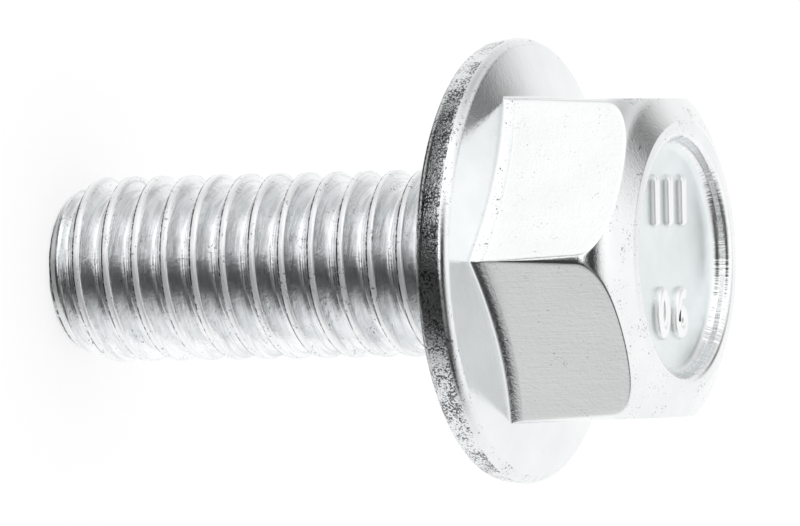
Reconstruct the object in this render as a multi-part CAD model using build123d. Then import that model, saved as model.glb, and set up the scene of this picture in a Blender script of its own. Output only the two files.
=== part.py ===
from build123d import *
import math
import os

# Hexagon flange bolt, M6 x 14, cold forged in one piece with a rolled right-hand thread.
#
# Frame: +Z runs up the bolt's axis, from the threaded end to the head. The origin is the centre of
# the bearing face, the flat ring under the flange. A corner of the hexagon points along -Y.
# Lengths are in millimetres and angles in degrees.

# Thread
shank_length = 14.3         # from the bearing face to the threaded end
pitch = 1.0
crest_diameter = 5.82
pitch_diameter = 5.30
flank_angle = 30.0
root_width = 0.16
groove_clearance = 0.3      # the groove's tool stands this far outside the crests
groove_height = -0.36       # height at which one turn of the groove crosses +X
groove_fade_height = 1.0    # length of the run-out, where the groove comes out of the shank
groove_fade_rise = 0.36     # how far the groove rises along the run-out

# Threaded end
end_diameter = 4.92
end_bevel_length = 1.0
end_edge = 0.12

# Neck between the thread and the head
neck_diameter = 5.24
neck_length = 1.0
neck_shoulder = 0.3
seat_bevel = 0.5            # cone between the neck and the bearing face

# Flange
flange_diameter = 13.8
rim_height = 0.87           # height of the rim's widest circle
rim_taper = 8.0             # lean of the rim's side below that circle
rim_bevel = 0.3             # bevel between the rim's side and the bearing face
rim_top_radius = 0.34
cone_angle = 18.5           # slope of the flange's upper face

# Hexagon
across_flats = 9.9
hexagon_draft = 0.4
corner_trim = 0.1           # how far the corners fall back at the top of the hexagon

# Head top
head_height = 6.28
lip_diameter = 8.4          # where the chamfer meets the lip
lip_crown = 0.05            # rise of the lip from its outer to its inner edge
chamfer_angle = 26.0
shoulder_radius = 1.1       # between the chamfer and the hexagon's corners
recess_diameter = 7.44
recess_edge = 0.12          # bevel at the recess's mouth
recess_depth = 0.63
recess_floor_diameter = 6.9


def tangent(angle):
    """Rise of a line for each millimetre along its base."""
    return math.tan(math.radians(angle))


# Sizes worked out from the ones above
crest_radius = crest_diameter / 2
end_radius = end_diameter / 2
neck_radius = neck_diameter / 2
flange_radius = flange_diameter / 2
flat_distance = across_flats / 2
corner_radius = flat_distance / math.cos(math.radians(30))
rim_centre = flange_radius - rim_top_radius
lip_radius = lip_diameter / 2
lip_height = head_height - lip_crown
recess_radius = recess_diameter / 2


def rim_side(height):
    """Radius of the flange's side at a height."""
    lean = math.radians(rim_taper)
    return rim_centre + (rim_top_radius + (height - rim_height) * math.sin(lean)) / math.cos(lean)


def flange_top(radius):
    """Height of the flange's conical face at a radius."""
    slope = math.radians(cone_angle)
    return rim_height + (rim_top_radius - (radius - rim_centre) * math.sin(slope)) / math.cos(slope)


def rim_corner():
    """Point where the flange's side and its conical face would meet without their rounding."""
    lean, slope = math.radians(rim_taper), math.radians(cone_angle)
    reach = rim_top_radius / math.cos(slope - lean)
    out = reach * (math.cos(slope) + math.sin(lean))
    up = reach * (math.cos(lean) - math.sin(slope))
    return rim_centre + out, rim_height + up


def turned(outline, corner=None, radius=0.0):
    """Solid of revolution about Z of an outline of (radius, height) points, with one corner rounded."""
    section = make_face(Polyline(*outline, close=True))
    if corner:
        vertex = section.vertices().sort_by_distance(Vector(*corner))[0]
        section = fillet(vertex, radius)
    return revolve(Plane.XZ * section, Axis.Z)


def flange():
    """Flange with a flat bearing face, a rounded rim and a conical upper face."""
    core_height = flange_top(lip_radius)
    outline = [
        (0, 0),
        (rim_side(0) - rim_bevel, 0),
        (rim_side(rim_bevel), rim_bevel),
        rim_corner(),
        (lip_radius, core_height),
        (0, core_height),
    ]
    return turned(outline, rim_corner(), rim_top_radius)


def hexagon():
    """Forged hexagon, drafted towards the head's top."""
    outline = RegularPolygon(flat_distance, 6, major_radius=False, rotation=30)
    return extrude(outline, head_height, taper=hexagon_draft)


def crown():
    """Turned outer form of the head: corners that fall back, chamfer, lip and recess."""
    trim_radius = corner_radius - corner_trim
    trim_height = lip_height - (trim_radius - lip_radius) * tangent(chamfer_angle)
    base_height = flange_top(flat_distance)
    trim_slope = corner_trim / (trim_height - base_height)
    outline = [
        (0, 0),
        (corner_radius + base_height * trim_slope, 0),
        (trim_radius, trim_height),
        (lip_radius, lip_height),
        (recess_radius + recess_edge, head_height),
        (recess_radius, head_height - recess_edge),
        (recess_floor_diameter / 2, head_height - recess_depth),
        (0, head_height - recess_depth),
    ]
    return turned(outline, (trim_radius, trim_height), shoulder_radius)


def shank_blank():
    """Shank before threading: cone under the head, neck, thread rod and bevelled end."""
    seat_radius = neck_radius + seat_bevel
    top = rim_height / 2
    shoulder_height = -neck_length - neck_shoulder
    outline = [
        (0, top),
        (seat_radius, top),
        (seat_radius, 0),
        (neck_radius, -seat_bevel),
        (neck_radius, -neck_length),
        (crest_radius, shoulder_height),
        (crest_radius, end_bevel_length - shank_length),
        (end_radius, end_edge - shank_length),
        (end_radius - end_edge, -shank_length),
        (0, -shank_length),
    ]
    return turned(outline)


def groove_section(height):
    """Section of the thread's groove: two flanks and the narrow root between them."""
    apex = pitch_diameter / 2 - pitch / 4 / tangent(flank_angle)
    root = apex + root_width / 2 / tangent(flank_angle)
    outer = crest_radius + groove_clearance
    opening = (outer - apex) * tangent(flank_angle)
    outline = Polyline(
        (outer, -opening), (root, -root_width / 2), (root, root_width / 2), (outer, opening), close=True
    )
    return Pos(0, 0, height) * (Plane.XZ * make_face(outline))


def groove():
    """Helical groove of the thread, and the run-out that brings it out of the shank."""
    fade_start = -neck_length - groove_fade_height
    turns = math.ceil((shank_length + fade_start) / pitch) + 1
    start = fade_start - turns * pitch
    radius = pitch_diameter / 2
    fade_angle = math.degrees(math.atan(groove_fade_rise / groove_fade_height))
    full_path = Helix(pitch, turns * pitch, radius, center=(0, 0, start))
    fade_path = Helix(pitch, groove_fade_height, radius, center=(0, 0, fade_start), cone_angle=fade_angle)
    full = sweep(groove_section(start), path=full_path, is_frenet=True)
    fade = sweep(groove_section(fade_start), path=fade_path, is_frenet=True)
    turn = Rot(0, 0, 360 * (fade_start - groove_height) / pitch)
    return [turn * full, turn * fade]


def flange_bolt():
    """The whole bolt, as one solid."""
    shank = shank_blank()
    for cut in groove():
        shank -= cut
    return flange() + (hexagon() & crown()) + shank


os.makedirs("parts", exist_ok=True)
export_step(flange_bolt(), "parts/flange_bolt.step")
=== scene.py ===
"""Hexagon flange bolt, zinc plated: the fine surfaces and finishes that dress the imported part.

Lengths in the classes are in millimetres and angles in degrees; meshes are written in metres.
"""

from __future__ import annotations

import logging
import math
from dataclasses import dataclass, field
from enum import Enum

import bpy
import numpy as np
from mathutils import Matrix, Vector

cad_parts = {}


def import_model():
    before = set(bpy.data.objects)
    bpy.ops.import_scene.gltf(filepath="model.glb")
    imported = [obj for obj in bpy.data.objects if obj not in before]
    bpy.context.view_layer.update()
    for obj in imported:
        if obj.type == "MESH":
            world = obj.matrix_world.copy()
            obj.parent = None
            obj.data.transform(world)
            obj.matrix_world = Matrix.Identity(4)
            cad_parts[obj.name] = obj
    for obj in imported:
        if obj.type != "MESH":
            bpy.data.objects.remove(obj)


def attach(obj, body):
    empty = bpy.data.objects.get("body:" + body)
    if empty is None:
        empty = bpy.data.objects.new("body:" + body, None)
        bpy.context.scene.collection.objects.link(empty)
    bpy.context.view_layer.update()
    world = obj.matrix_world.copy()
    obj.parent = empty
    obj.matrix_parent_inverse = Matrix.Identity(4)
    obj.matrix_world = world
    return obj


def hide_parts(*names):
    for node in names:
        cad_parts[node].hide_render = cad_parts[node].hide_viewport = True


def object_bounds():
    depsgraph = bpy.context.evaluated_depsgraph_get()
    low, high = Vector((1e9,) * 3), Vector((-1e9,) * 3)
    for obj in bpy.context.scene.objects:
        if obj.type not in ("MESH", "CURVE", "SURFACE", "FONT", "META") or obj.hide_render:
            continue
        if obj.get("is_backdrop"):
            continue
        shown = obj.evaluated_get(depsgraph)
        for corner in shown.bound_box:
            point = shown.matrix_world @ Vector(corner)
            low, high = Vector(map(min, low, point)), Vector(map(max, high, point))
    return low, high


LOG = logging.getLogger("flange_bolt")

MILLIMETRE = 0.001
MICROMETRE = 0.000001
NODE = "flange_bolt"


# ---------------------------------------------------------------------------------------------
# Outlines and meshes
# ---------------------------------------------------------------------------------------------


def tangent(angle: float) -> float:
    """Return the rise of a line at an angle for each millimetre along its base."""
    return math.tan(math.radians(angle))


def soft_least(first: np.ndarray, second: np.ndarray, softness: float) -> np.ndarray:
    """Return the smaller of two lengths, with the change from one to the other rounded off.

    The value is -k * ln(exp(-a / k) + exp(-b / k)), where k is the softness: far from a = b it is
    the smaller of a and b, and at a = b it lies k * ln 2 below them.

    Args:
        first: The lengths a.
        second: The lengths b.
        softness: The length k over which the change is rounded.

    Returns:
        The blended lengths.
    """
    return -softness * np.logaddexp(-first / softness, -second / softness)


def rounded_line(
    corners: list[tuple[float, float]], radii: list[float], steps: int
) -> np.ndarray:
    """Return an outline whose inner corners are arcs.

    At a corner where the line turns by an angle t, an arc of radius q starts and ends
    q * tan(t / 2) from the corner, and its points are the start turned about the arc's centre by
    0 to t.

    Args:
        corners: The outline's corners as (radius, height).
        radii: The arc's radius at each inner corner.
        steps: The number of points on each arc.

    Returns:
        An array of (radius, height) points.
    """
    points = np.asarray(corners, float)
    line = [points[:1]]
    for before, corner, after, radius in zip(points[:-2], points[1:-1], points[2:], radii):
        arriving = (corner - before) / np.linalg.norm(corner - before)
        leaving = (after - corner) / np.linalg.norm(after - corner)
        turned = arriving[0] * leaving[1] - arriving[1] * leaving[0]
        turn = math.atan2(turned, float(arriving @ leaving))
        start = corner - arriving * radius * math.tan(abs(turn) / 2)
        side = math.copysign(1.0, turn)
        centre = start + radius * side * np.array([-arriving[1], arriving[0]])
        angle = np.linspace(0.0, turn, steps)[:, None]
        spoke = start - centre
        across = np.array([-spoke[1], spoke[0]])
        line.append(centre + np.cos(angle) * spoke + np.sin(angle) * across)
    line.append(points[-1:])
    return np.concatenate(line)


def close_to_ends(count: int, pull: float) -> np.ndarray:
    """Return fractions from 0 to 1 that crowd towards both ends.

    A straight count t becomes (1 + tanh(pull * (2t - 1)) / tanh(pull)) / 2.

    Args:
        count: The number of fractions.
        pull: How strongly they crowd.

    Returns:
        The fractions, from 0 to 1.
    """
    even = np.linspace(-1.0, 1.0, count)
    return (1.0 + np.tanh(pull * even) / math.tanh(pull)) / 2.0


def turned_rings(line: np.ndarray, azimuths: np.ndarray) -> np.ndarray:
    """Return a surface of revolution: the point (r, z) at azimuth a is (r cos a, r sin a, z).

    Args:
        line: The outline as (radius, height) points.
        azimuths: The azimuths of the columns, in radians.

    Returns:
        Points of shape (rows, columns, 3).
    """
    radius, height = line[:, :1], np.broadcast_to(line[:, 1:], (len(line), len(azimuths)))
    return np.stack([radius * np.cos(azimuths), radius * np.sin(azimuths), height], axis=-1)


class Skin:
    """One closed surface, gathered patch by patch and then written as a mesh."""

    def __init__(self) -> None:
        """Start with no points and no faces."""
        self.points: list[np.ndarray] = []
        self.quads: list[np.ndarray] = []
        self.triangles: list[np.ndarray] = []
        self.quad_finishes: list[np.ndarray] = []
        self.triangle_finishes: list[np.ndarray] = []
        self.count = 0

    def add_points(self, points: np.ndarray) -> np.ndarray:
        """Add points and return their numbers in the same arrangement.

        Args:
            points: Points in millimetres, of shape (..., 3).

        Returns:
            The points' numbers, of shape (...).
        """
        flat = points.reshape(-1, 3)
        numbers = self.count + np.arange(len(flat)).reshape(points.shape[:-1])
        self.points.append(flat)
        self.count += len(flat)
        return numbers

    def add_quads(self, corners: np.ndarray, finish: int | np.ndarray) -> None:
        """Add quads.

        Args:
            corners: Rows of four point numbers, anticlockwise as seen from outside.
            finish: One finish for all, or one for each quad.
        """
        self.quads.append(corners.reshape(-1, 4))
        self.quad_finishes.append(np.broadcast_to(np.asarray(finish), (corners.size // 4,)))

    def add_triangles(self, corners: np.ndarray, finish: int) -> None:
        """Add triangles.

        Args:
            corners: Rows of three point numbers, anticlockwise as seen from outside.
            finish: Their finish.
        """
        self.triangles.append(corners.reshape(-1, 3))
        self.triangle_finishes.append(np.full(corners.size // 3, finish))

    def add_rings(self, rings: np.ndarray, finishes: int | np.ndarray) -> None:
        """Join rings of point numbers, each closed on itself, with faces that look outwards.

        Args:
            rings: Point numbers of shape (rings, columns), counted anticlockwise.
            finishes: One finish, or one for each band between two rings.
        """
        following = np.roll(rings, -1, axis=1)
        quads = np.stack([rings[:-1], following[:-1], following[1:], rings[1:]], axis=-1)
        bands = np.broadcast_to(np.asarray(finishes), (len(rings) - 1,))
        self.add_quads(quads, np.repeat(bands, rings.shape[1]))

    def add_pole(self, ring: np.ndarray, centre: np.ndarray, finish: int, upper: bool) -> None:
        """Close a ring with triangles to one point at its centre.

        Args:
            ring: The ring's point numbers, counted anticlockwise.
            centre: The centre's position.
            finish: The finish of the triangles.
            upper: True where the closed face looks along +Z, False where it looks along -Z.
        """
        pole = np.full(len(ring), self.add_points(centre[None])[0])
        following = np.roll(ring, -1)
        order = [ring, following, pole] if upper else [following, ring, pole]
        self.add_triangles(np.stack(order, axis=-1), finish)

    def build(self, name: str, finishes: list[bpy.types.Material]) -> bpy.types.Object:
        """Write the surface as a smooth mesh whose object sits at the origin.

        Args:
            name: The piece's name.
            finishes: The materials, in the order that the faces number them.

        Returns:
            The new object.
        """
        mesh = bpy.data.meshes.new(name)
        faces = np.concatenate(self.quads).tolist() + np.concatenate(self.triangles).tolist()
        mesh.from_pydata(np.concatenate(self.points) * MILLIMETRE, [], faces)
        for finish in finishes:
            mesh.materials.append(finish)
        numbers = np.concatenate(self.quad_finishes + self.triangle_finishes).astype(np.int32)
        mesh.polygons.foreach_set("material_index", numbers)
        mesh.polygons.foreach_set("use_smooth", np.ones(len(numbers), bool))
        mesh.update()
        piece = bpy.data.objects.new(name, mesh)
        bpy.context.scene.collection.objects.link(piece)
        return piece


# ---------------------------------------------------------------------------------------------
# Finishes
# ---------------------------------------------------------------------------------------------


class Surface(Enum):
    """Surfaces of the bolt that the forge, the rolling dies and the plating leave different, and a
    line of painted shade along the thread's crest.
    """

    ROLLED_THREAD = 0
    SHANK_END = 1
    SEAT = 2
    RIM = 3
    FLANGE_TOP = 4
    HEXAGON = 5
    CROWN = 6
    RECESS_WALL = 7
    RECESS_FLOOR = 8
    THREAD_CREST = 9
    # Painted shade: the dark line along the upper flank's crest edge
    CREST_SEAM = 10
    FLAT_FOOT = 11
    SIGN = 12
    RIM_EDGE = 13


class NodeSheet:
    """A node tree with short calls to add and join its nodes."""

    def __init__(self, tree: bpy.types.NodeTree) -> None:
        """Take the tree and clear it."""
        self.tree = tree
        tree.nodes.clear()

    def node(self, kind: str, **settings: object) -> bpy.types.Node:
        """Add a node.

        Args:
            kind: The node's Blender type.
            **settings: Properties of the node, or values of its inputs by name with underscores.

        Returns:
            The new node.
        """
        node = self.tree.nodes.new(kind)
        for name, value in settings.items():
            if hasattr(node, name):
                setattr(node, name, value)
            else:
                node.inputs[name.replace("_", " ")].default_value = value
        return node

    def join(self, source: bpy.types.NodeSocket, target: bpy.types.NodeSocket) -> None:
        """Link an output to an input."""
        self.tree.links.new(source, target)

    def sum_up(self, kind: str, *terms: bpy.types.NodeSocket | float) -> bpy.types.NodeSocket:
        """Add a Math node.

        Args:
            kind: The operation.
            *terms: Its one to three terms, each a socket or a number.

        Returns:
            The node's output.
        """
        node = self.node("ShaderNodeMath", operation=kind)
        for place, value in enumerate(terms):
            if isinstance(value, bpy.types.NodeSocket):
                self.join(value, node.inputs[place])
            else:
                node.inputs[place].default_value = value
        return node.outputs[0]


class EffectGroups:
    """Node groups that several finishes share. Each gives only values, colours or masks."""

    # Scale of the patches as a share of the specks' own, and how strongly they gather the specks
    PATCH_SCALE = 0.13
    PATCH_PULL = 0.5
    SPECK_LEVELS = (0.92, 1.02)
    CLOUD_LEVELS = (0.3, 0.7)

    def __init__(self) -> None:
        """Build each group once."""
        self.unevenness = self._unevenness()
        self.grain = self._grain()
        self.specks = self._specks()
        self.cloud = self._cloud()

    @staticmethod
    def _group(
        name: str, inputs: dict[str, str], outputs: dict[str, str]
    ) -> tuple[NodeSheet, bpy.types.Node, bpy.types.Node]:
        """Make an empty group with its sockets.

        Args:
            name: The group's name.
            inputs: The kind of each input by its title: Float, Vector or Color.
            outputs: The kind of each output by its title.

        Returns:
            The group's sheet, its input node and its output node.
        """
        tree = bpy.data.node_groups.new(name, "ShaderNodeTree")
        for side, sockets in (("INPUT", inputs), ("OUTPUT", outputs)):
            for title, kind in sockets.items():
                socket_type = f"NodeSocket{kind}"
                tree.interface.new_socket(name=title, in_out=side, socket_type=socket_type)
        sheet = NodeSheet(tree)
        return sheet, sheet.node("NodeGroupInput"), sheet.node("NodeGroupOutput")

    def _unevenness(self) -> bpy.types.NodeTree:
        """Build the skin of plated steel: soft dimples and small pits, as a height in metres.

        Returns:
            The group, whose height is each noise times its depth, added up.
        """
        sheet, given, result = self._group(
            "plated_unevenness",
            {
                "Position": "Vector",
                "Dimple Scale": "Float",
                "Dimple Depth": "Float",
                "Pit Scale": "Float",
                "Pit Depth": "Float",
            },
            {"Height": "Float"},
        )
        dimples = sheet.node("ShaderNodeTexNoise", Detail=1.5, Roughness=0.45)
        pits = sheet.node("ShaderNodeTexNoise", Detail=2.0, Roughness=0.9)
        for texture, title in ((dimples, "Dimple"), (pits, "Pit")):
            sheet.join(given.outputs["Position"], texture.inputs["Vector"])
            sheet.join(given.outputs[f"{title} Scale"], texture.inputs["Scale"])
        broad = sheet.sum_up("MULTIPLY", dimples.outputs["Fac"], given.outputs["Dimple Depth"])
        fine = sheet.sum_up("MULTIPLY", pits.outputs["Fac"], given.outputs["Pit Depth"])
        sheet.join(sheet.sum_up("ADD", broad, fine), result.inputs["Height"])
        return sheet.tree

    def _grain(self) -> bpy.types.NodeTree:
        """Build drawn grain: noise stretched along one direction, as a height and a mask.

        Returns:
            The group. Its mask is the noise itself, and its height the noise times the depth.
        """
        sheet, given, result = self._group(
            "drawn_grain",
            {"Position": "Vector", "Stretch": "Vector", "Depth": "Float"},
            {"Height": "Float", "Mask": "Float"},
        )
        stretched = sheet.node("ShaderNodeVectorMath", operation="MULTIPLY")
        sheet.join(given.outputs["Position"], stretched.inputs[0])
        sheet.join(given.outputs["Stretch"], stretched.inputs[1])
        lines = sheet.node("ShaderNodeTexNoise", Scale=1.0, Detail=4.0, Roughness=0.65)
        sheet.join(stretched.outputs[0], lines.inputs["Vector"])
        height = sheet.sum_up("MULTIPLY", lines.outputs["Fac"], given.outputs["Depth"])
        sheet.join(height, result.inputs["Height"])
        sheet.join(lines.outputs["Fac"], result.inputs["Mask"])
        return sheet.tree

    def _specks(self) -> bpy.types.NodeTree:
        """Build small dark specks, gathered in patches, as a mask from 0 to 1.

        The specks' noise, the share and the patches' noise times their pull are added, and the mask
        rises from 0 to 1 as the sum goes from the first speck level to the second.

        Returns:
            The group.
        """
        sheet, given, result = self._group(
            "plating_specks",
            {"Position": "Vector", "Scale": "Float", "Share": "Float"},
            {"Mask": "Float"},
        )
        grains = sheet.node("ShaderNodeTexNoise", Detail=2.0, Roughness=0.7)
        patches = sheet.node("ShaderNodeTexNoise", Detail=2.0, Roughness=0.5)
        for texture in (grains, patches):
            sheet.join(given.outputs["Position"], texture.inputs["Vector"])
        sheet.join(given.outputs["Scale"], grains.inputs["Scale"])
        patch_scale = sheet.sum_up("MULTIPLY", given.outputs["Scale"], self.PATCH_SCALE)
        sheet.join(patch_scale, patches.inputs["Scale"])
        level = sheet.sum_up("ADD", grains.outputs["Fac"], given.outputs["Share"])
        gathered = sheet.sum_up("MULTIPLY", patches.outputs["Fac"], self.PATCH_PULL)
        lowest, highest = self.SPECK_LEVELS
        mask = sheet.node("ShaderNodeMapRange", From_Min=lowest, From_Max=highest)
        mask.interpolation_type = "SMOOTHSTEP"
        sheet.join(sheet.sum_up("ADD", level, gathered), mask.inputs["Value"])
        sheet.join(mask.outputs["Result"], result.inputs["Mask"])
        return sheet.tree

    def _cloud(self) -> bpy.types.NodeTree:
        """Build slow clouds of tone between two colours.

        Returns:
            The group.
        """
        sheet, given, result = self._group(
            "plating_cloud",
            {"Position": "Vector", "Scale": "Float", "Pale": "Color", "Deep": "Color"},
            {"Colour": "Color"},
        )
        noise = sheet.node("ShaderNodeTexNoise", Detail=3.0, Roughness=0.55)
        sheet.join(given.outputs["Position"], noise.inputs["Vector"])
        sheet.join(given.outputs["Scale"], noise.inputs["Scale"])
        lowest, highest = self.CLOUD_LEVELS
        level = sheet.node("ShaderNodeMapRange", From_Min=lowest, From_Max=highest)
        sheet.join(noise.outputs["Fac"], level.inputs["Value"])
        mix = sheet.node("ShaderNodeMix", data_type="RGBA")
        sheet.join(level.outputs["Result"], mix.inputs["Factor"])
        sheet.join(given.outputs["Pale"], mix.inputs["A"])
        sheet.join(given.outputs["Deep"], mix.inputs["B"])
        sheet.join(mix.outputs["Result"], result.inputs["Colour"])
        return sheet.tree


# Values of the grain's mask between which its streaks come up in the colour
STREAK_LEVELS = (0.45, 0.75)


@dataclass(frozen=True)
class ZincFinish:
    """Bright zinc plating as it lies on one of the bolt's surfaces.

    Scales and stretches are counts for each millimetre, and depths are in thousandths of a
    millimetre. The colour drifts between pale and deep in clouds. The roughness swings by the
    grain's mask. Specks and the streaks of the grain have the speck's tone: a higher speck share
    gives more specks, and the streak share is the tone's strength in the strongest streaks. An
    unrolled radius, where it isn't 0, makes the grain run along the outline of a turned surface.
    """

    name: str
    pale: tuple[float, float, float] = (0.855, 0.875, 0.88)
    deep: tuple[float, float, float] = (0.77, 0.79, 0.80)
    cloud_scale: float = 0.6
    roughness: float = 0.24
    roughness_swing: float = 0.10
    dimple_scale: float = 2.6
    dimple_depth: float = 4.0
    pit_scale: float = 9.0
    pit_depth: float = 2.0
    grain_stretch: tuple[float, float, float] = (1.0, 1.0, 1.0)
    grain_depth: float = 0.0
    speck_scale: float = 9.0
    speck_share: float = -0.3
    speck_tone: tuple[float, float, float] = (0.30, 0.31, 0.33)
    streak_share: float = 0.0
    unrolled_radius: float = 0.0
    metallic: float = 1.0

    def grain_place(self, sheet: NodeSheet, place: bpy.types.NodeSocket) -> bpy.types.NodeSocket:
        """Give the place that the grain reads: the object's own, or unrolled about its axis.

        Unrolled, X is the azimuth times the radius, Y is nothing and Z is the height.

        Args:
            sheet: The material's node sheet.
            place: The Object coordinates.

        Returns:
            The place as a vector.
        """
        if not self.unrolled_radius:
            return place
        parts = sheet.node("ShaderNodeSeparateXYZ")
        sheet.join(place, parts.inputs[0])
        azimuth = sheet.sum_up("ARCTAN2", parts.outputs["Y"], parts.outputs["X"])
        unrolled = sheet.node("ShaderNodeCombineXYZ")
        arc = sheet.sum_up("MULTIPLY", azimuth, self.unrolled_radius * MILLIMETRE)
        sheet.join(arc, unrolled.inputs["X"])
        sheet.join(parts.outputs["Z"], unrolled.inputs["Z"])
        return unrolled.outputs[0]

    def material(self, effects: EffectGroups) -> bpy.types.Material:
        """Build the finish as a material on Object coordinates.

        Args:
            effects: The shared node groups.

        Returns:
            The new material.
        """
        material = bpy.data.materials.new(self.name)
        material.use_nodes = True
        sheet = NodeSheet(material.node_tree)
        place = sheet.node("ShaderNodeTexCoord").outputs["Object"]
        cloud = sheet.node("ShaderNodeGroup", node_tree=effects.cloud)
        specks = sheet.node("ShaderNodeGroup", node_tree=effects.specks)
        uneven = sheet.node("ShaderNodeGroup", node_tree=effects.unevenness)
        grain = sheet.node("ShaderNodeGroup", node_tree=effects.grain)
        for group in (cloud, specks, uneven):
            sheet.join(place, group.inputs["Position"])
        sheet.join(self.grain_place(sheet, place), grain.inputs["Position"])
        cloud.inputs["Scale"].default_value = self.cloud_scale / MILLIMETRE
        cloud.inputs["Pale"].default_value = (*self.pale, 1)
        cloud.inputs["Deep"].default_value = (*self.deep, 1)
        specks.inputs["Scale"].default_value = self.speck_scale / MILLIMETRE
        specks.inputs["Share"].default_value = self.speck_share
        uneven.inputs["Dimple Scale"].default_value = self.dimple_scale / MILLIMETRE
        uneven.inputs["Dimple Depth"].default_value = self.dimple_depth * MICROMETRE
        uneven.inputs["Pit Scale"].default_value = self.pit_scale / MILLIMETRE
        uneven.inputs["Pit Depth"].default_value = self.pit_depth * MICROMETRE
        stretch = [count / MILLIMETRE for count in self.grain_stretch]
        grain.inputs["Stretch"].default_value = stretch
        grain.inputs["Depth"].default_value = self.grain_depth * MICROMETRE

        colour = sheet.node("ShaderNodeMix", data_type="RGBA")
        sheet.join(specks.outputs["Mask"], colour.inputs["Factor"])
        sheet.join(cloud.outputs["Colour"], colour.inputs["A"])
        colour.inputs["B"].default_value = (*self.speck_tone, 1)

        lowest, highest = STREAK_LEVELS
        streaks = sheet.node("ShaderNodeMapRange", From_Min=lowest, From_Max=highest)
        streaks.inputs["To Max"].default_value = self.streak_share
        sheet.join(grain.outputs["Mask"], streaks.inputs["Value"])
        drawn = sheet.node("ShaderNodeMix", data_type="RGBA")
        sheet.join(streaks.outputs["Result"], drawn.inputs["Factor"])
        sheet.join(colour.outputs["Result"], drawn.inputs["A"])
        drawn.inputs["B"].default_value = (*self.speck_tone, 1)

        swing = sheet.sum_up("SUBTRACT", grain.outputs["Mask"], 0.5)
        rough = sheet.sum_up("MULTIPLY_ADD", swing, self.roughness_swing, self.roughness)

        bump = sheet.node("ShaderNodeBump", Strength=1.0, Distance=1.0)
        height = sheet.sum_up("ADD", uneven.outputs["Height"], grain.outputs["Height"])
        sheet.join(height, bump.inputs["Height"])

        metal = sheet.node("ShaderNodeBsdfPrincipled", Metallic=self.metallic)
        sheet.join(drawn.outputs["Result"], metal.inputs["Base Color"])
        sheet.join(rough, metal.inputs["Roughness"])
        sheet.join(bump.outputs["Normal"], metal.inputs["Normal"])
        output = sheet.node("ShaderNodeOutputMaterial")
        sheet.join(metal.outputs["BSDF"], output.inputs["Surface"])
        return material


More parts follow.
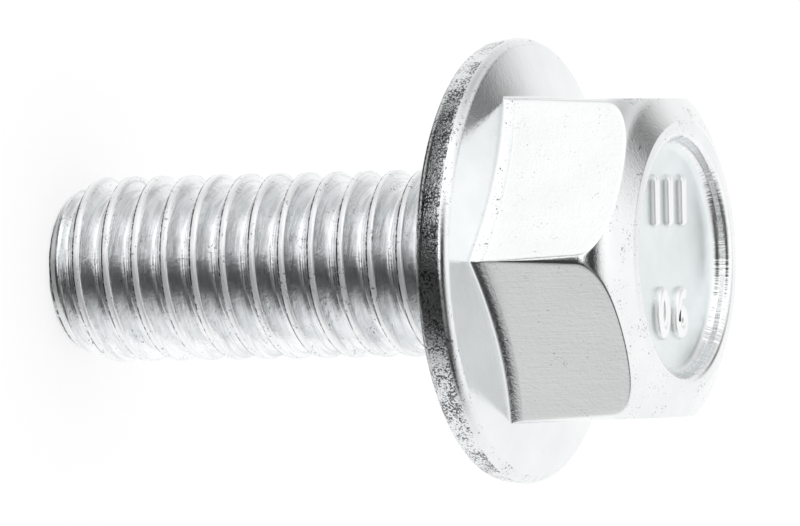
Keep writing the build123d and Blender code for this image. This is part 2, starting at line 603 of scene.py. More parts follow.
@dataclass
class BoltFinishes:
    """The finish of each surface of the bolt, and the materials made from them.

    The thread's grain runs round the shank, the hexagon's runs up the flats, and the recess wall's
    runs down the wall, where it gives fine ribs.
    """

    effects: EffectGroups = field(default_factory=EffectGroups)
    finishes: dict[Surface, ZincFinish] = field(default_factory=dict)

    def __post_init__(self) -> None:
        """Set the finishes of this bolt."""
        around = (0.5, 0.5, 12.0)
        upright = (11.0, 11.0, 0.9)
        down_the_wall = (2.8, 1.0, 0.15)
        self.finishes = {
            Surface.ROLLED_THREAD: ZincFinish(
                "zinc_on_rolled_thread",
                pale=(0.96, 0.97, 0.975),
                deep=(0.89, 0.91, 0.92),
                roughness=0.22,
                streak_share=0.4,
                grain_stretch=around,
                grain_depth=14.0,
                dimple_scale=4.0,
                dimple_depth=5.0,
                pit_scale=6.0,
                pit_depth=10.0,
                speck_scale=12.0,
                speck_share=0.0,
            ),
            Surface.THREAD_CREST: ZincFinish(
                "zinc_on_thread_crest",
                pale=(0.95, 0.965, 0.97),
                deep=(0.90, 0.91, 0.92),
                roughness=0.3,
                metallic=0.65,
                pit_depth=3.0,
                speck_scale=10.0,
                speck_share=0.04,
            ),
            # Painted shade: dense near-black specks that paint a dark line along the crest's edge
            Surface.CREST_SEAM: ZincFinish(
                "zinc_with_painted_crest_shade",
                roughness=0.3,
                pit_scale=8.0,
                pit_depth=6.0,
                speck_scale=7.0,
                speck_share=0.24,
                speck_tone=(0.10, 0.10, 0.11),
            ),
            Surface.FLAT_FOOT: ZincFinish(
                "zinc_on_flat_foot",
                roughness=0.14,
                pit_depth=11.0,
                speck_scale=12.0,
                speck_share=0.03,
                speck_tone=(0.2, 0.2, 0.21),
            ),
            Surface.SIGN: ZincFinish(
                "zinc_on_signs",
                pale=(0.95, 0.96, 0.96),
                deep=(0.90, 0.91, 0.91),
                roughness=0.3,
                metallic=0.6,
            ),
            Surface.SHANK_END: ZincFinish("zinc_on_shank_end", roughness=0.34, pit_depth=4.0),
            Surface.SEAT: ZincFinish("zinc_on_seat", roughness=0.25),
            # Partly painted shade: many near-black specks darken the rim, partly its pitted scale
            # and partly shade painted in for the dark band it mirrors
            Surface.RIM: ZincFinish(
                "zinc_on_rim",
                roughness=0.16,
                pit_scale=10.0,
                pit_depth=10.5,
                speck_scale=14.0,
                speck_share=0.17,
                speck_tone=(0.12, 0.12, 0.13),
            ),
            Surface.RIM_EDGE: ZincFinish(
                "zinc_on_rim_edge",
                roughness=0.14,
                pit_scale=10.0,
                pit_depth=7.0,
                speck_scale=12.0,
                speck_share=0.04,
                speck_tone=(0.2, 0.2, 0.21),
            ),
            Surface.FLANGE_TOP: ZincFinish(
                "zinc_on_flange_top",
                deep=(0.80, 0.82, 0.83),
                roughness=0.12,
                dimple_depth=2.5,
                pit_scale=10.0,
                pit_depth=3.5,
            ),
            Surface.HEXAGON: ZincFinish(
                "zinc_on_hexagon",
                pale=(0.925, 0.935, 0.935),
                deep=(0.88, 0.895, 0.895),
                roughness=0.16,
                dimple_depth=1.0,
                pit_scale=8.0,
                pit_depth=3.5,
                grain_stretch=upright,
                grain_depth=3.0,
                speck_scale=16.0,
                speck_share=-0.02,
                speck_tone=(0.45, 0.46, 0.48),
            ),
            Surface.CROWN: ZincFinish(
                "zinc_on_crown",
                pale=(0.89, 0.895, 0.90),
                deep=(0.82, 0.83, 0.84),
                roughness=0.14,
                dimple_depth=2.0,
                pit_scale=10.0,
                pit_depth=6.0,
                speck_scale=12.0,
                speck_share=0.02,
                speck_tone=(0.34, 0.35, 0.36),
            ),
            Surface.RECESS_WALL: ZincFinish(
                "zinc_on_recess_wall",
                pale=(0.93, 0.94, 0.945),
                deep=(0.86, 0.87, 0.88),
                roughness=0.18,
                grain_stretch=down_the_wall,
                grain_depth=62.0,
                streak_share=0.08,
                unrolled_radius=3.65,
            ),
            Surface.RECESS_FLOOR: ZincFinish(
                "zinc_on_recess_floor",
                pale=(0.87, 0.91, 0.91),
                deep=(0.78, 0.82, 0.83),
                roughness=0.34,
            ),
        }

    def materials(self) -> list[bpy.types.Material]:
        """Build the materials in the order of the surfaces' numbers."""
        return [self.finishes[surface].material(self.effects) for surface in Surface]


# ---------------------------------------------------------------------------------------------
# The bolt
# ---------------------------------------------------------------------------------------------


@dataclass
class ThreadedShank:
    """Neck, rolled right-hand thread and bevelled end of the bolt.

    The spiral runs on past both ends by its overruns, in pitches at the end and in millimetres at
    the neck. The crest's edge is the end of each flank, which has the crest's finer rows. The
    painted shade line is a narrow line of a dark speckled finish that paints shade along the
    crest's edge, from just before the place where the upper flank meets the crest to just after
    it. The neck's rings begin a neck gap above the spiral, and they end inside the head, a sunk
    edge wider than the fillet.
    """

    length: float = 14.3
    pitch: float = 1.0
    crest_radius: float = 2.91
    pitch_radius: float = 2.65
    flank_angle: float = 30.0
    root_radius: float = 0.139
    groove_height: float = -0.36
    fade_height: float = 1.0
    fade_rise: float = 0.36
    crest_softness: float = 0.022
    neck_radius: float = 2.62
    neck_length: float = 1.0
    neck_shoulder: float = 0.3
    end_radius: float = 2.46
    end_bevel_length: float = 1.0
    end_edge: float = 0.12
    seat_fillet: float = 0.5
    sunk_height: float = 0.4
    sunk_edge: float = 0.02
    neck_gap: float = 0.04
    neck_squeeze: float = 0.1
    neck_overrun: float = 0.1
    end_overrun: float = 1.4
    crest_edge: float = 0.05
    # How far before and after the crest's edge the painted shade line reaches
    shade_line_before: float = 0.06
    shade_line_after: float = 0.03
    end_rings: tuple[float, float] = (0.5, 0.9)
    fillet_rows: int = 9
    columns: int = 132
    root_rows: int = 8
    flank_rows: int = 3
    crest_rows: int = 10

    def crest_start(self) -> float:
        """Return the distance from the root's middle at which a flank reaches the crest."""
        return (self.crest_radius - self.pitch_radius) * tangent(self.flank_angle) + self.pitch / 4

    def groove_line(self) -> tuple[np.ndarray, np.ndarray]:
        """Return the groove's section over one pitch, as distances along the axis and radii.

        The two flanks lean by the flank angle from the plane across the axis, and an arc that
        touches both rounds the root. The flanks run on to the middle of the crest, where the next
        groove's begin: the blank's own radius cuts them off there.

        Returns:
            The distances from the root's middle, from -half to +half a pitch with the last one left
            out, and the radius at each.
        """
        slope = tangent(self.flank_angle)
        apex = self.pitch_radius - self.pitch / 4 / slope
        touch = self.root_radius * math.cos(math.radians(self.flank_angle))
        crest = self.crest_start()
        arc = np.linspace(-touch, touch, self.root_rows + 1)
        flank_end = crest - self.crest_edge
        flank = np.linspace(touch, flank_end, self.flank_rows + 1)[1:]
        edge = np.linspace(flank_end, self.pitch / 2, self.crest_rows // 2 + 1)[1:]
        upper = np.concatenate([flank, edge])
        along = np.concatenate([-upper[::-1], arc, upper[:-1]])
        centre = apex + self.root_radius / math.sin(math.radians(self.flank_angle))
        rounded = centre - np.sqrt(np.maximum(self.root_radius**2 - along**2, 0.0))
        radius = np.where(np.abs(along) <= touch, rounded, apex + np.abs(along) / slope)
        return along, radius

    def blank_radius(self, height: np.ndarray) -> np.ndarray:
        """Return the radius of the shank before rolling: bevel, rod, shoulder and neck.

        Args:
            height: Heights along the axis.

        Returns:
            The radius at each height, straight between the corners of the outline.
        """
        end = -self.length
        heights = [
            end,
            end + self.end_edge,
            end + self.end_bevel_length,
            -self.neck_length - self.neck_shoulder,
            -self.neck_length,
            0.0,
        ]
        radii = [
            self.end_radius - self.end_edge,
            self.end_radius,
            self.crest_radius,
            self.crest_radius,
            self.neck_radius,
            self.neck_radius,
        ]
        return np.interp(height, heights, radii)

    def thread(self) -> tuple[np.ndarray, np.ndarray]:
        """Return the threaded surface as a grid whose rows follow the thread.

        Row i and column j stand at azimuth a = 2 pi j / columns and at height s(i) + pitch * a /
        2 pi, so each row keeps its place in the groove's section while it climbs one pitch a turn.
        The radius is the soft least of the groove's section and the blank's radius. Above the fade
        the section moves outwards, and on the neck the heights are squeezed, so that the last row
        lies almost level. Below the shank's end the path turns onto the flat end and runs inwards,
        a millimetre for each millimetre.

        Returns:
            The points of shape (rows, columns + 1, 3), and each row's distance from the root's
            middle.
        """
        along, section = self.groove_line()
        per_turn = len(along)
        turns = math.ceil(self.length / self.pitch) + 3
        first = self.groove_height - self.pitch * turns
        steps = np.arange(turns * per_turn)
        start = first + (steps // per_turn) * self.pitch + along[steps % per_turn]
        lowest = -self.length - self.end_overrun * self.pitch
        highest = -self.neck_length + self.neck_overrun
        keep = (start >= lowest) & (start <= highest)
        start, steps = start[keep], steps[keep]
        azimuth = np.linspace(0.0, 2 * math.pi, self.columns + 1)
        height = start[:, None] + self.pitch * azimuth[None] / (2 * math.pi)
        fade_start = -self.neck_length - self.fade_height
        rise = self.fade_rise * np.clip((height - fade_start) / self.fade_height, 0.0, None)
        over = np.maximum(height + self.neck_length, 0.0)
        height = height - (1.0 - self.neck_squeeze) * over
        groove = section[steps % per_turn][:, None] + rise
        radius = soft_least(groove, self.blank_radius(height), self.crest_softness)
        below = np.minimum(height + self.length, 0.0)
        edge = self.end_radius - self.end_edge
        radius = np.where(below < 0.0, np.minimum(radius, edge + below), radius)
        height = np.maximum(height, -self.length)
        grid = np.stack([radius * np.cos(azimuth), radius * np.sin(azimuth), height], axis=-1)
        return grid, along[steps % per_turn]

    def face_finishes(self, grid: np.ndarray, place: np.ndarray) -> np.ndarray:
        """Return the finish of each face of the grid.

        By its row a face is flank, painted shade line, crest or flat end, and above the shoulder it
        is neck.

        Args:
            grid: The points of the threaded surface.
            place: Each row's distance from the root's middle.

        Returns:
            The numbers of the finishes, row by row.
        """
        crest = self.crest_start()
        place = place[:-1]
        rows = np.full(len(place), Surface.ROLLED_THREAD.value)
        shade_line_start, shade_line_end = crest - self.shade_line_before, crest + self.shade_line_after
        rows[(place > shade_line_end) | (place < -crest)] = Surface.THREAD_CREST.value
        # Painted shade: rows on either side of the upper flank's crest edge take the dark finish
        rows[(place > shade_line_start) & (place < shade_line_end)] = Surface.CREST_SEAM.value
        flat_end = np.all(grid[1:, 1:, 2] <= -self.length, axis=-1)
        rows[flat_end] = Surface.SHANK_END.value
        faces = np.repeat(rows[:, None], self.columns, axis=1)
        neck = grid[1:, 1:, 2] > -self.neck_length - self.neck_shoulder
        faces[neck] = Surface.ROLLED_THREAD.value
        return faces.ravel()

    def skin(self) -> Skin:
        """Gather the shank's closed surface, from the flat end to the disc inside the head.

        The grid's last column stands one pitch above its first, so that it shares the points of the
        first column one pitch of rows further up, and only the topmost pitch has points of its own.

        Returns:
            The surface.
        """
        skin = Skin()
        grid, place = self.thread()
        per_turn = len(self.groove_line()[0])
        rows, columns = len(grid), self.columns
        body = skin.add_points(grid[:, :columns])
        spare = skin.add_points(grid[rows - per_turn :, columns])
        numbers = np.empty((rows, columns + 1), int)
        numbers[:, :columns] = body
        numbers[: rows - per_turn, columns] = body[per_turn:, 0]
        numbers[rows - per_turn :, columns] = spare
        quads = np.stack(
            [numbers[:-1, :-1], numbers[:-1, 1:], numbers[1:, 1:], numbers[1:, :-1]], axis=-1
        )
        skin.add_quads(quads, self.face_finishes(grid, place))
        self.close_end(skin, numbers, per_turn, float(np.hypot(*grid[0, 0, :2])))
        self.close_neck(skin, numbers, per_turn, float(grid[-1, -1, 2]))
        return skin

    def close_end(self, skin: Skin, numbers: np.ndarray, per_turn: int, reach: float) -> None:
        """Join the spiral's lower border to a ring on the flat end, and the ring to the centre.

        The border runs once round the first row and steps back down one pitch along the seam; the
        step closes with a fan to the ring's first point.

        Args:
            skin: The surface that is being gathered.
            numbers: The grid's point numbers.
            per_turn: The number of rows in one pitch.
            reach: The smallest radius of the grid on the flat end.
        """
        azimuth = (np.arange(self.columns) + 0.5) * 2 * math.pi / self.columns
        line = np.array([[reach * share, -self.length] for share in self.end_rings])
        rings = skin.add_points(turned_rings(line, azimuth))
        finish = Surface.SHANK_END.value
        skin.add_rings(rings, finish)
        skin.add_pole(rings[0], np.array([0.0, 0.0, -self.length]), finish, upper=False)
        ring, row = rings[1], numbers[0]
        following = np.roll(ring, -1)
        skin.add_quads(np.stack([ring, following, row[1:], row[:-1]], axis=-1), finish)
        step = numbers[: per_turn + 1, 0]
        hub = np.full(per_turn, ring[0])
        skin.add_triangles(np.stack([step[:-1], step[1:], hub], axis=-1), finish)

    def close_neck(self, skin: Skin, numbers: np.ndarray, per_turn: int, start: float) -> None:
        """Join the spiral's upper border to the neck, its fillet and a disc inside the head.

        Args:
            skin: The surface that is being gathered.
            numbers: The grid's point numbers.
            per_turn: The number of rows in one pitch.
            start: The height of the highest point of the grid.
        """
        azimuth = (np.arange(self.columns) + 0.5) * 2 * math.pi / self.columns
        flare = self.neck_radius + self.seat_fillet
        outer = flare + self.sunk_edge
        corners = [
            (self.neck_radius, start + self.neck_gap),
            (self.neck_radius, 0.0),
            (outer, self.sunk_edge / 2),
        ]
        line = rounded_line(corners, [self.seat_fillet], self.fillet_rows)
        line = np.concatenate([line, [[outer, self.sunk_height]]])
        rings = skin.add_points(turned_rings(line, azimuth))
        finish = Surface.ROLLED_THREAD.value
        skin.add_rings(rings, finish)
        skin.add_pole(rings[-1], np.array([0.0, 0.0, self.sunk_height]), finish, upper=True)
        row = numbers[-1]
        following = np.roll(rings[0], -1)
        skin.add_quads(np.stack([row[:-1], row[1:], following, rings[0]], axis=-1), finish)
        step = numbers[-per_turn - 1 :, -1]
        hub = np.full(per_turn, rings[0][0])
        skin.add_triangles(np.stack([step[:-1], hub, step[1:]], axis=-1), finish)


@dataclass
class Band:
    """Rows of the head's grid that share a finish, by their radii and heights.

    The finish covers the faces below each row, down to the row before it.
    """

    surface: Surface
    radius: np.ndarray
    height: np.ndarray


@dataclass
class ForgedHead:
    """Flange, hexagon and recessed crown of the bolt, forged in one.

    The rings are shares of the way across a surface at which its rows stand.
    """

    flange_radius: float = 6.9
    rim_height: float = 0.87
    rim_taper: float = 8.0
    rim_under_radius: float = 0.42
    rim_top_radius: float = 0.34
    cone_angle: float = 18.5
    flat_distance: float = 4.95
    hexagon_draft: float = 0.4
    foot_radius: float = 0.14
    foot_sweep_radius: float = 0.9
    foot_sweep_angle: float = 22.0
    corner_trim: float = 0.13
    edge_softness: float = 0.016
    head_height: float = 6.28
    lip_radius: float = 4.2
    lip_crown: float = 0.05
    lip_rounding: float = 0.16
    chamfer_angle: float = 26.0
    shoulder_radius: float = 1.1
    recess_radius: float = 3.72
    recess_edge_radius: float = 0.24
    recess_depth: float = 0.63
    recess_foot_radius: float = 3.58
    recess_floor_fillet: float = 0.34
    columns_per_half_side: int = 25
    column_pull: float = 2.9
    arc_steps: int = 12
    path_samples: int = 4000
    seat_rings: tuple[float, ...] = (0.12, 0.3, 0.48, 0.66, 0.84, 0.98)
    cone_rings: tuple[float, ...] = (0.04, 0.2, 0.45, 0.7, 0.9, 0.97)
    cone_gap: float = 0.02
    flat_rows: int = 26
    flat_pull: float = 2.2
    least_flat: float = 0.02
    crown_rings: tuple[float, ...] = (0.004, 0.01, 0.02, 0.035, 0.055, 0.08)
    crown_even_start: float = 0.11
    crown_rows: int = 26
    wall_rings: tuple[float, ...] = (0.1, 0.5, 0.9)
    floor_rings: tuple[float, ...] = (0.99, 0.8, 0.6, 0.4, 0.2)

    def __post_init__(self) -> None:
        """Work out the columns and the crown's outline, finely sampled along its path."""
        self.azimuth = self.azimuths()
        self.crown = self.crown_line()
        shoulder = self.crown[: self.arc_steps + 2]
        legs = np.linalg.norm(np.diff(shoulder, axis=0), axis=1)
        path = np.concatenate([[0.0], np.cumsum(legs)])
        self.path = np.linspace(0.0, path[-1], self.path_samples)
        self.path_radius = np.interp(self.path, path, shoulder[:, 0])
        self.path_height = np.interp(self.path, path, shoulder[:, 1])

    def azimuths(self) -> np.ndarray:
        """Return the columns' azimuths, crowded towards the hexagon's six corners.

        The offset from a corner is 30 degrees * (exp(k t) - 1) / (exp(k) - 1) for t from 0 to 1,
        where k is the pull, and it is mirrored to the next corner.

        Returns:
            The azimuths in radians, rising from the corner on -Y.
        """
        even = np.arange(self.columns_per_half_side + 1) / self.columns_per_half_side
        offset = 30.0 * np.expm1(self.column_pull * even) / math.expm1(self.column_pull)
        side = np.concatenate([offset, 60.0 - offset[-2:0:-1]])
        return np.radians(-90.0 + (side[None] + 60.0 * np.arange(6)[:, None]).ravel())

    def rim_side(self, height: float) -> float:
        """Return the radius of the flange's leaning side.

        The side touches the rim's upper arc and leans in below it by the rim's taper.

        Args:
            height: The height.

        Returns:
            The radius there.
        """
        lean = math.radians(self.rim_taper)
        centre = self.flange_radius - self.rim_top_radius
        reach = self.rim_top_radius + (height - self.rim_height) * math.sin(lean)
        return centre + reach / math.cos(lean)

    def flange_top(self, radius: np.ndarray | float) -> np.ndarray | float:
        """Return the height of the flange's conical face.

        The cone touches the rim's upper arc and climbs inwards by the cone's angle.

        Args:
            radius: One radius or many.

        Returns:
            The height at each radius.
        """
        slope = math.radians(self.cone_angle)
        centre = self.flange_radius - self.rim_top_radius
        fall = (radius - centre) * math.sin(slope)
        return self.rim_height + (self.rim_top_radius - fall) / math.cos(slope)

    def hexagon_radius(self, height: np.ndarray | float) -> np.ndarray:
        """Return the drafted hexagon's radius at each column.

        It is the flat's distance, less the draft, over the cosine of the offset from the flat's
        middle.

        Args:
            height: One height for all columns, or heights whose last axis is the columns.

        Returns:
            The radii.
        """
        side = math.radians(60.0)
        offset = np.mod(self.azimuth + math.pi / 2, side) - side / 2
        return (self.flat_distance - height * tangent(self.hexagon_draft)) / np.cos(offset)

    def head_radius(self, height: np.ndarray | float) -> np.ndarray:
        """Return the soft least of the hexagon's and the crown's radii at each column.

        Args:
            height: One height for all columns, or heights whose last axis is the columns.

        Returns:
            The radii.
        """
        crown = np.interp(height, self.path_height, self.path_radius)
        hexagon = self.hexagon_radius(height)
        return soft_least(hexagon, np.broadcast_to(crown, hexagon.shape), self.edge_softness)

    def crown_line(self) -> np.ndarray:
        """Return the crown's outline: corners that fall back, shoulder, chamfer, lip and recess.

        Returns:
            The outline as (radius, height) points: one at its foot, those of the arcs of the
            shoulder, the lip, the recess's edge and its floor's fillet, and the centre.
        """
        corner = self.flat_distance / math.cos(math.radians(30))
        lip_height = self.head_height - self.lip_crown
        trim_radius = corner - self.corner_trim
        fall = (trim_radius - self.lip_radius) * tangent(self.chamfer_angle)
        base = self.flange_top(self.flat_distance)
        lean = self.corner_trim / (lip_height - fall - base)
        floor = self.head_height - self.recess_depth
        corners = [
            (corner + base * lean, 0.0),
            (trim_radius, lip_height - fall),
            (self.lip_radius, lip_height),
            (self.recess_radius, self.head_height),
            (self.recess_foot_radius, floor),
            (0.0, floor),
        ]
        radii = [
            self.shoulder_radius,
            self.lip_rounding,
            self.recess_edge_radius,
            self.recess_floor_fillet,
        ]
        return rounded_line(corners, radii, self.arc_steps)

    def turned_band(self, surface: Surface, line: np.ndarray) -> Band:
        """Return the rows of a turned surface, where every column has the same outline."""
        ones = np.ones_like(self.azimuth)
        return Band(surface, line[:, :1] * ones, line[:, 1:] * ones)

    def seat_and_rim(self) -> list[Band]:
        """Return the rows from the middle of the bearing face round the rim to the cone's foot.

        From a quarter of the way round its upper arc, the rim has a finish of its own.

        Returns:
            The bands of the seat, the rim, its upper edge and the cone's first row.
        """
        slope, lean = math.radians(self.cone_angle), math.radians(self.rim_taper)
        centre = self.flange_radius - self.rim_top_radius
        reach = self.rim_top_radius / math.cos(slope - lean)
        corner = (
            centre + reach * (math.cos(slope) + math.sin(lean)),
            self.rim_height + reach * (math.cos(lean) - math.sin(slope)),
        )
        cone_start = centre + self.rim_top_radius * math.sin(slope) - self.cone_gap
        cone = (cone_start, self.flange_top(cone_start))
        line = rounded_line(
            [(0.0, 0.0), (self.rim_side(0.0), 0.0), corner, cone],
            [self.rim_under_radius, self.rim_top_radius],
            self.arc_steps,
        )
        side = 1 + self.arc_steps + self.arc_steps // 4
        flat = line[1, 0] * np.array(self.seat_rings)
        seat = np.concatenate([np.stack([flat, np.zeros_like(flat)], axis=-1), line[1:2]])
        return [
            self.turned_band(Surface.SEAT, seat),
            self.turned_band(Surface.RIM, line[2:side]),
            self.turned_band(Surface.RIM_EDGE, line[side:-1]),
            self.turned_band(Surface.FLANGE_TOP, line[-1:]),
        ]

    def cone_and_foot(self, start: float) -> list[Band]:
        """Return the rows up the cone and round the hollow foot of the flats.

        In each column a small arc touches the cone, and a large one carries on from it until it
        touches the upright line through the flat's foot.

        Args:
            start: The radius at which the cone begins.

        Returns:
            The cone's band with the small arc, and the large arc's, which ends on the flat.
        """
        slope, sweep = math.radians(self.cone_angle), math.radians(self.foot_sweep_angle)
        small, large = self.foot_radius, self.foot_sweep_radius
        foot = self.head_radius(self.flange_top(self.flat_distance))
        middle = foot + large - (large - small) * math.cos(sweep)
        end = middle - small * math.sin(slope)
        middle_height = self.flange_top(end) + small * math.cos(slope)
        top = middle_height + (large - small) * math.sin(sweep)
        cone = start + (end - start) * np.array(self.cone_rings)[:, None]
        lean = np.linspace(math.pi / 2 - slope, sweep, self.arc_steps - 2)[:, None]
        radius = np.concatenate([cone, middle - small * np.cos(lean)])
        height = np.concatenate([self.flange_top(cone), middle_height - small * np.sin(lean)])
        ease = np.linspace(sweep, 0.0, self.arc_steps - 2)[1:, None]
        return [
            Band(Surface.FLANGE_TOP, radius, height),
            Band(
                Surface.FLAT_FOOT,
                foot + large * (1 - np.cos(ease)),
                top - large * np.sin(ease),
            ),
        ]

    def flats_and_crown(self, foot: np.ndarray) -> list[Band]:
        """Return the rows up the flats to the crown's cut, and from there to the lip.

        Column by column, the crown cuts the hexagon where its outline has the hexagon's radius.

        Args:
            foot: The height at which the flats begin, for each column.

        Returns:
            The flats' band and the crown's.
        """
        radius = self.hexagon_radius(self.path_height[-1])
        shoulder = np.hypot(*(self.crown[1] - self.crown[0]))
        cut = np.maximum(np.interp(-radius, -self.path_radius, self.path), shoulder)
        cut_height = np.interp(cut, self.path, self.path_height)
        cut_height = np.maximum(cut_height, foot + self.least_flat)
        side = foot + (cut_height - foot) * close_to_ends(self.flat_rows, self.flat_pull)[1:, None]
        even = np.linspace(self.crown_even_start, 1.0, self.crown_rows)
        share = np.concatenate([self.crown_rings, even])[:, None]
        path = cut + (self.path[-1] - cut) * share
        over = np.maximum(np.interp(path, self.path, self.path_height), cut_height)
        return [
            Band(Surface.HEXAGON, self.head_radius(side), side),
            Band(Surface.CROWN, self.head_radius(over), over),
        ]

    def lip_and_recess(self) -> list[Band]:
        """Return the rows over the lip, down the recess's wall and across its floor.

        The lip's, the edge's and the floor fillet's arcs are the last three of the crown's outline.

        Returns:
            The bands of the lip, the wall and the floor.
        """
        steps = self.arc_steps
        lip, edge, fillet = self.crown[1 + steps : 1 + 4 * steps].reshape(3, steps, 2)
        half = steps // 2
        wall = edge[-1] + (fillet[0] - edge[-1]) * np.array(self.wall_rings)[:, None]
        flat = fillet[-1, 0] * np.array(self.floor_rings)
        floor = np.stack([flat, np.full_like(flat, fillet[-1, 1])], axis=-1)
        return [
            self.turned_band(Surface.CROWN, np.concatenate([lip[1:], edge[:half]])),
            self.turned_band(
                Surface.RECESS_WALL, np.concatenate([edge[half:], wall, fillet[:half]])
            ),
            self.turned_band(Surface.RECESS_FLOOR, np.concatenate([fillet[half:], floor])),
        ]

    def skin(self) -> Skin:
        """Gather the head's closed surface.

        Each column is an outline in the plane of its azimuth: out along the bearing face, round the
        rim, up the cone and the flat, over the crown and down to the middle of the recess's floor.

        Returns:
            The surface.
        """
        bands = self.seat_and_rim()
        bands += self.cone_and_foot(float(bands[-1].radius[-1, 0]))
        bands += self.flats_and_crown(bands[-1].height[-1])
        bands += self.lip_and_recess()
        radius = np.concatenate([band.radius for band in bands])
        height = np.concatenate([band.height for band in bands])
        across = [radius * np.cos(self.azimuth), radius * np.sin(self.azimuth)]
        counts = [len(band.radius) for band in bands]
        finishes = np.repeat([band.surface.value for band in bands], counts)
        skin = Skin()
        rings = skin.add_points(np.stack([*across, height], axis=-1))
        skin.add_rings(rings, finishes[1:])
        skin.add_pole(rings[0], np.zeros(3), Surface.SEAT.value, upper=False)
        middle = np.array([0.0, 0.0, height[-1, 0]])
        skin.add_pole(rings[-1], middle, Surface.RECESS_FLOOR.value, upper=True)
        return skin


class Sign(Enum):
    """Plain signs that stand raised on the recess's floor."""

    NOUGHT = "nought"
    SIX = "six"
    BAR = "bar"


@dataclass(frozen=True)
class PlacedSign:
    """A sign and the place of its middle on the recess's floor."""

    sign: Sign
    along_x: float
    along_y: float


@dataclass
class RaisedSigns:
    """Raised plain signs on the recess's floor: the number 06 and three bars.

    The bowl is a share of the six's height, the stem's turn is where its quarter ellipse ends, and
    the end bends are the angles of the rings that round a stroke's open end.
    """

    floor_height: float = 5.65
    sign_height: float = 1.65
    sign_width: float = 1.0
    stroke_width: float = 0.42
    relief: float = 0.18
    section_power: float = 0.55
    section_points: int = 18
    round_points: int = 40
    stem_points: int = 22
    bar_points: int = 14
    bowl_share: float = 0.56
    stem_turn: float = 75.6
    end_bends: tuple[float, ...] = (12.0, 32.0, 52.0, 72.0)
    tip: float = 0.01
    signs: tuple[PlacedSign, ...] = (
        PlacedSign(Sign.NOUGHT, 1.7, -0.72),
        PlacedSign(Sign.SIX, 1.7, 0.72),
        PlacedSign(Sign.BAR, -1.75, -1.1),
        PlacedSign(Sign.BAR, -1.75, 0.0),
        PlacedSign(Sign.BAR, -1.75, 1.1),
    )

    def strokes(self, sign: Sign) -> list[tuple[np.ndarray, bool]]:
        """Return a sign's strokes as middle lines (across, up), each with whether it closes.

        The nought is an ellipse. The six is an ellipse as its bowl and a quarter of a larger one as
        its stem. The bar is a straight line.

        Args:
            sign: The sign.

        Returns:
            The strokes.
        """
        half_width = (self.sign_width - self.stroke_width) / 2
        half_height = (self.sign_height - self.stroke_width) / 2
        round_trip = np.linspace(0.0, 2 * math.pi, self.round_points + 1)[:-1]
        across = half_width * np.cos(round_trip)
        if sign is Sign.NOUGHT:
            return [(np.stack([across, half_height * np.sin(round_trip)], axis=-1), True)]
        if sign is Sign.SIX:
            bowl_height = self.bowl_share * half_height
            middle = bowl_height - half_height
            bowl = np.stack([across, middle + bowl_height * np.sin(round_trip)], axis=-1)
            turn = np.linspace(math.pi, math.radians(self.stem_turn), self.stem_points)
            rise = 2 * half_height - bowl_height
            bent = half_width * (0.5 + 1.5 * np.cos(turn))
            stem = np.stack([bent, middle + rise * np.sin(turn)], axis=-1)
            return [(bowl, True), (stem, False)]
        up = np.linspace(-half_height, half_height, self.bar_points)
        return [(np.stack([np.zeros_like(up), up], axis=-1), False)]

    def ridge(self, skin: Skin, middle: np.ndarray, closed: bool, finish: int) -> None:
        """Carry a flattened oval section along a stroke's middle line.

        At a point of the line with the left-hand normal n, the ring's points are w c n + h s z,
        with c and s the cosine and sine of the turn raised to the section's power with their signs
        kept, w half the stroke's width and h the relief. At an open end the ring shrinks by sin b
        while it moves on by w cos b, for each bend b, which rounds the end.

        Args:
            skin: The surface that is being gathered.
            middle: The line's points (x, y) on the floor.
            closed: Whether the line closes on itself.
            finish: The finish of the faces.
        """
        half = self.stroke_width / 2
        scale = np.ones(len(middle))
        if closed:
            direction = np.roll(middle, -1, axis=0) - np.roll(middle, 1, axis=0)
        else:
            direction = np.gradient(middle, axis=0)
        direction /= np.linalg.norm(direction, axis=1, keepdims=True)
        if not closed:
            bend = np.radians(self.end_bends)
            early = middle[0] - half * np.cos(bend)[:, None] * direction[0]
            late = (middle[-1] + half * np.cos(bend)[:, None] * direction[-1])[::-1]
            middle = np.concatenate([early, middle, late])
            direction = np.pad(direction, ((len(bend), len(bend)), (0, 0)), mode="edge")
            scale = np.concatenate([np.sin(bend), scale, np.sin(bend)[::-1]])
        turn = np.arange(self.section_points) * 2 * math.pi / self.section_points
        level, upright = np.cos(turn), np.sin(turn)
        wide = half * np.sign(level) * np.abs(level) ** self.section_power
        high = self.relief * np.sign(upright) * np.abs(upright) ** self.section_power
        normal = np.stack([-direction[:, 1], direction[:, 0]], axis=-1)
        flat = middle[:, None] + normal[:, None] * (scale[:, None] * wide)[..., None]
        height = self.floor_height + scale[:, None] * high
        rings = skin.add_points(np.concatenate([flat, height[..., None]], axis=-1))
        if closed:
            skin.add_rings(np.concatenate([rings, rings[:1]]), finish)
            return
        skin.add_rings(rings, finish)
        for place, side in ((0, -1.0), (-1, 1.0)):
            point = middle[place] + side * self.tip * direction[place]
            centre = np.array([*point, self.floor_height])
            skin.add_pole(rings[place], centre, finish, upper=side > 0.0)

    def skin(self) -> Skin:
        """Gather all the signs, which read along +Y with their tops towards -X.

        Returns:
            The closed surfaces of all strokes.
        """
        skin = Skin()
        for placed in self.signs:
            for line, closed in self.strokes(placed.sign):
                across, up = line[:, 0], line[:, 1]
                middle = np.stack([placed.along_x - up, placed.along_y + across], axis=-1)
                self.ridge(skin, middle, closed, Surface.SIGN.value)
        return skin


# ---------------------------------------------------------------------------------------------
# Studio
# ---------------------------------------------------------------------------------------------


